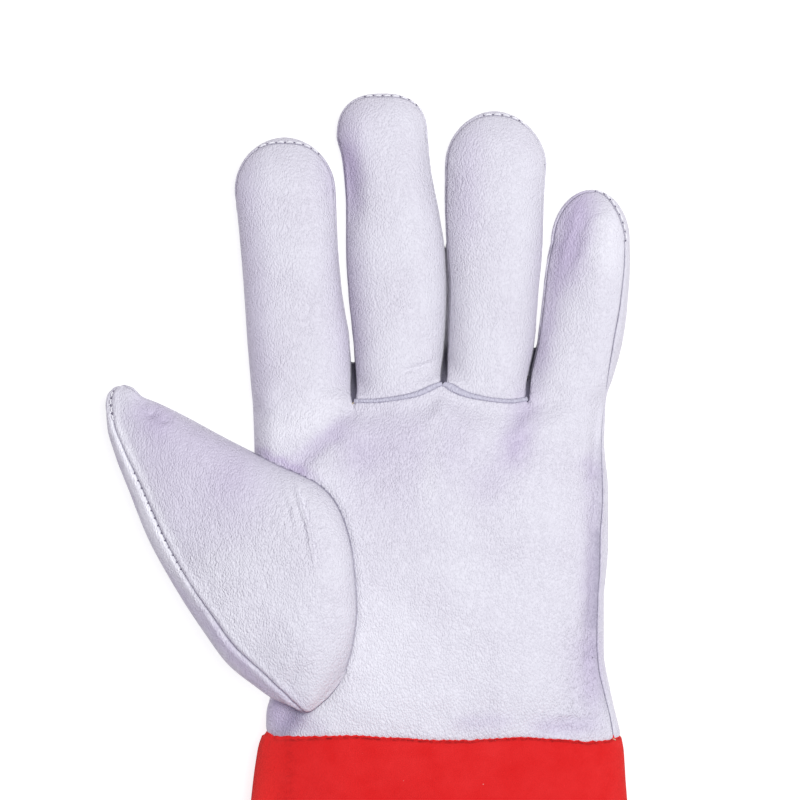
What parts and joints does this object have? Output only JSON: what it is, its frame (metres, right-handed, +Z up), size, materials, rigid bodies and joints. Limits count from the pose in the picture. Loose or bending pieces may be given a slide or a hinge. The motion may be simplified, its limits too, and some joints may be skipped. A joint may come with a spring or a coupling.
{
  "type": "tig welding glove",
  "caption": "Left welding glove of thin pale goatskin with separate finger fronts, side gussets, a winged thumb and a long red split-leather cuff, filled out and lying palm up.",
  "frame": {"origin": "on the table under the middle of the glove's bounding box", "axes": "+Y from the cuff to the fingertips, +X from the thumb to the little finger, +Z up out of the palm"},
  "size_m": [0.1712, 0.3496, 0.0379],
  "materials": {
    "goatskin": "pearl white goatskin nappa with a faint lilac cast and a soft satin sheen, fine pebble grain",
    "goatskin_welt": "the same goatskin, folded double into a narrow welt",
    "split_leather": "bright red split cowhide, matt and suede-like with a short nap",
    "stitching": "pale twisted aramid sewing thread"
  },
  "bodies": {
    "root": {"palm_front": "goatskin", "middle_front": "goatskin", "ring_front": "goatskin", "welt_middle": "goatskin_welt", "welt_ring": "goatskin_welt", "hand_back": "goatskin", "fourchette_index_middle": "goatskin", "fourchette_middle_ring": "goatskin", "fourchette_ring_little": "goatskin", "thumb_front": "goatskin", "thumb_back": "goatskin", "cuff": "split_leather"}
  },
  "joints": []
}
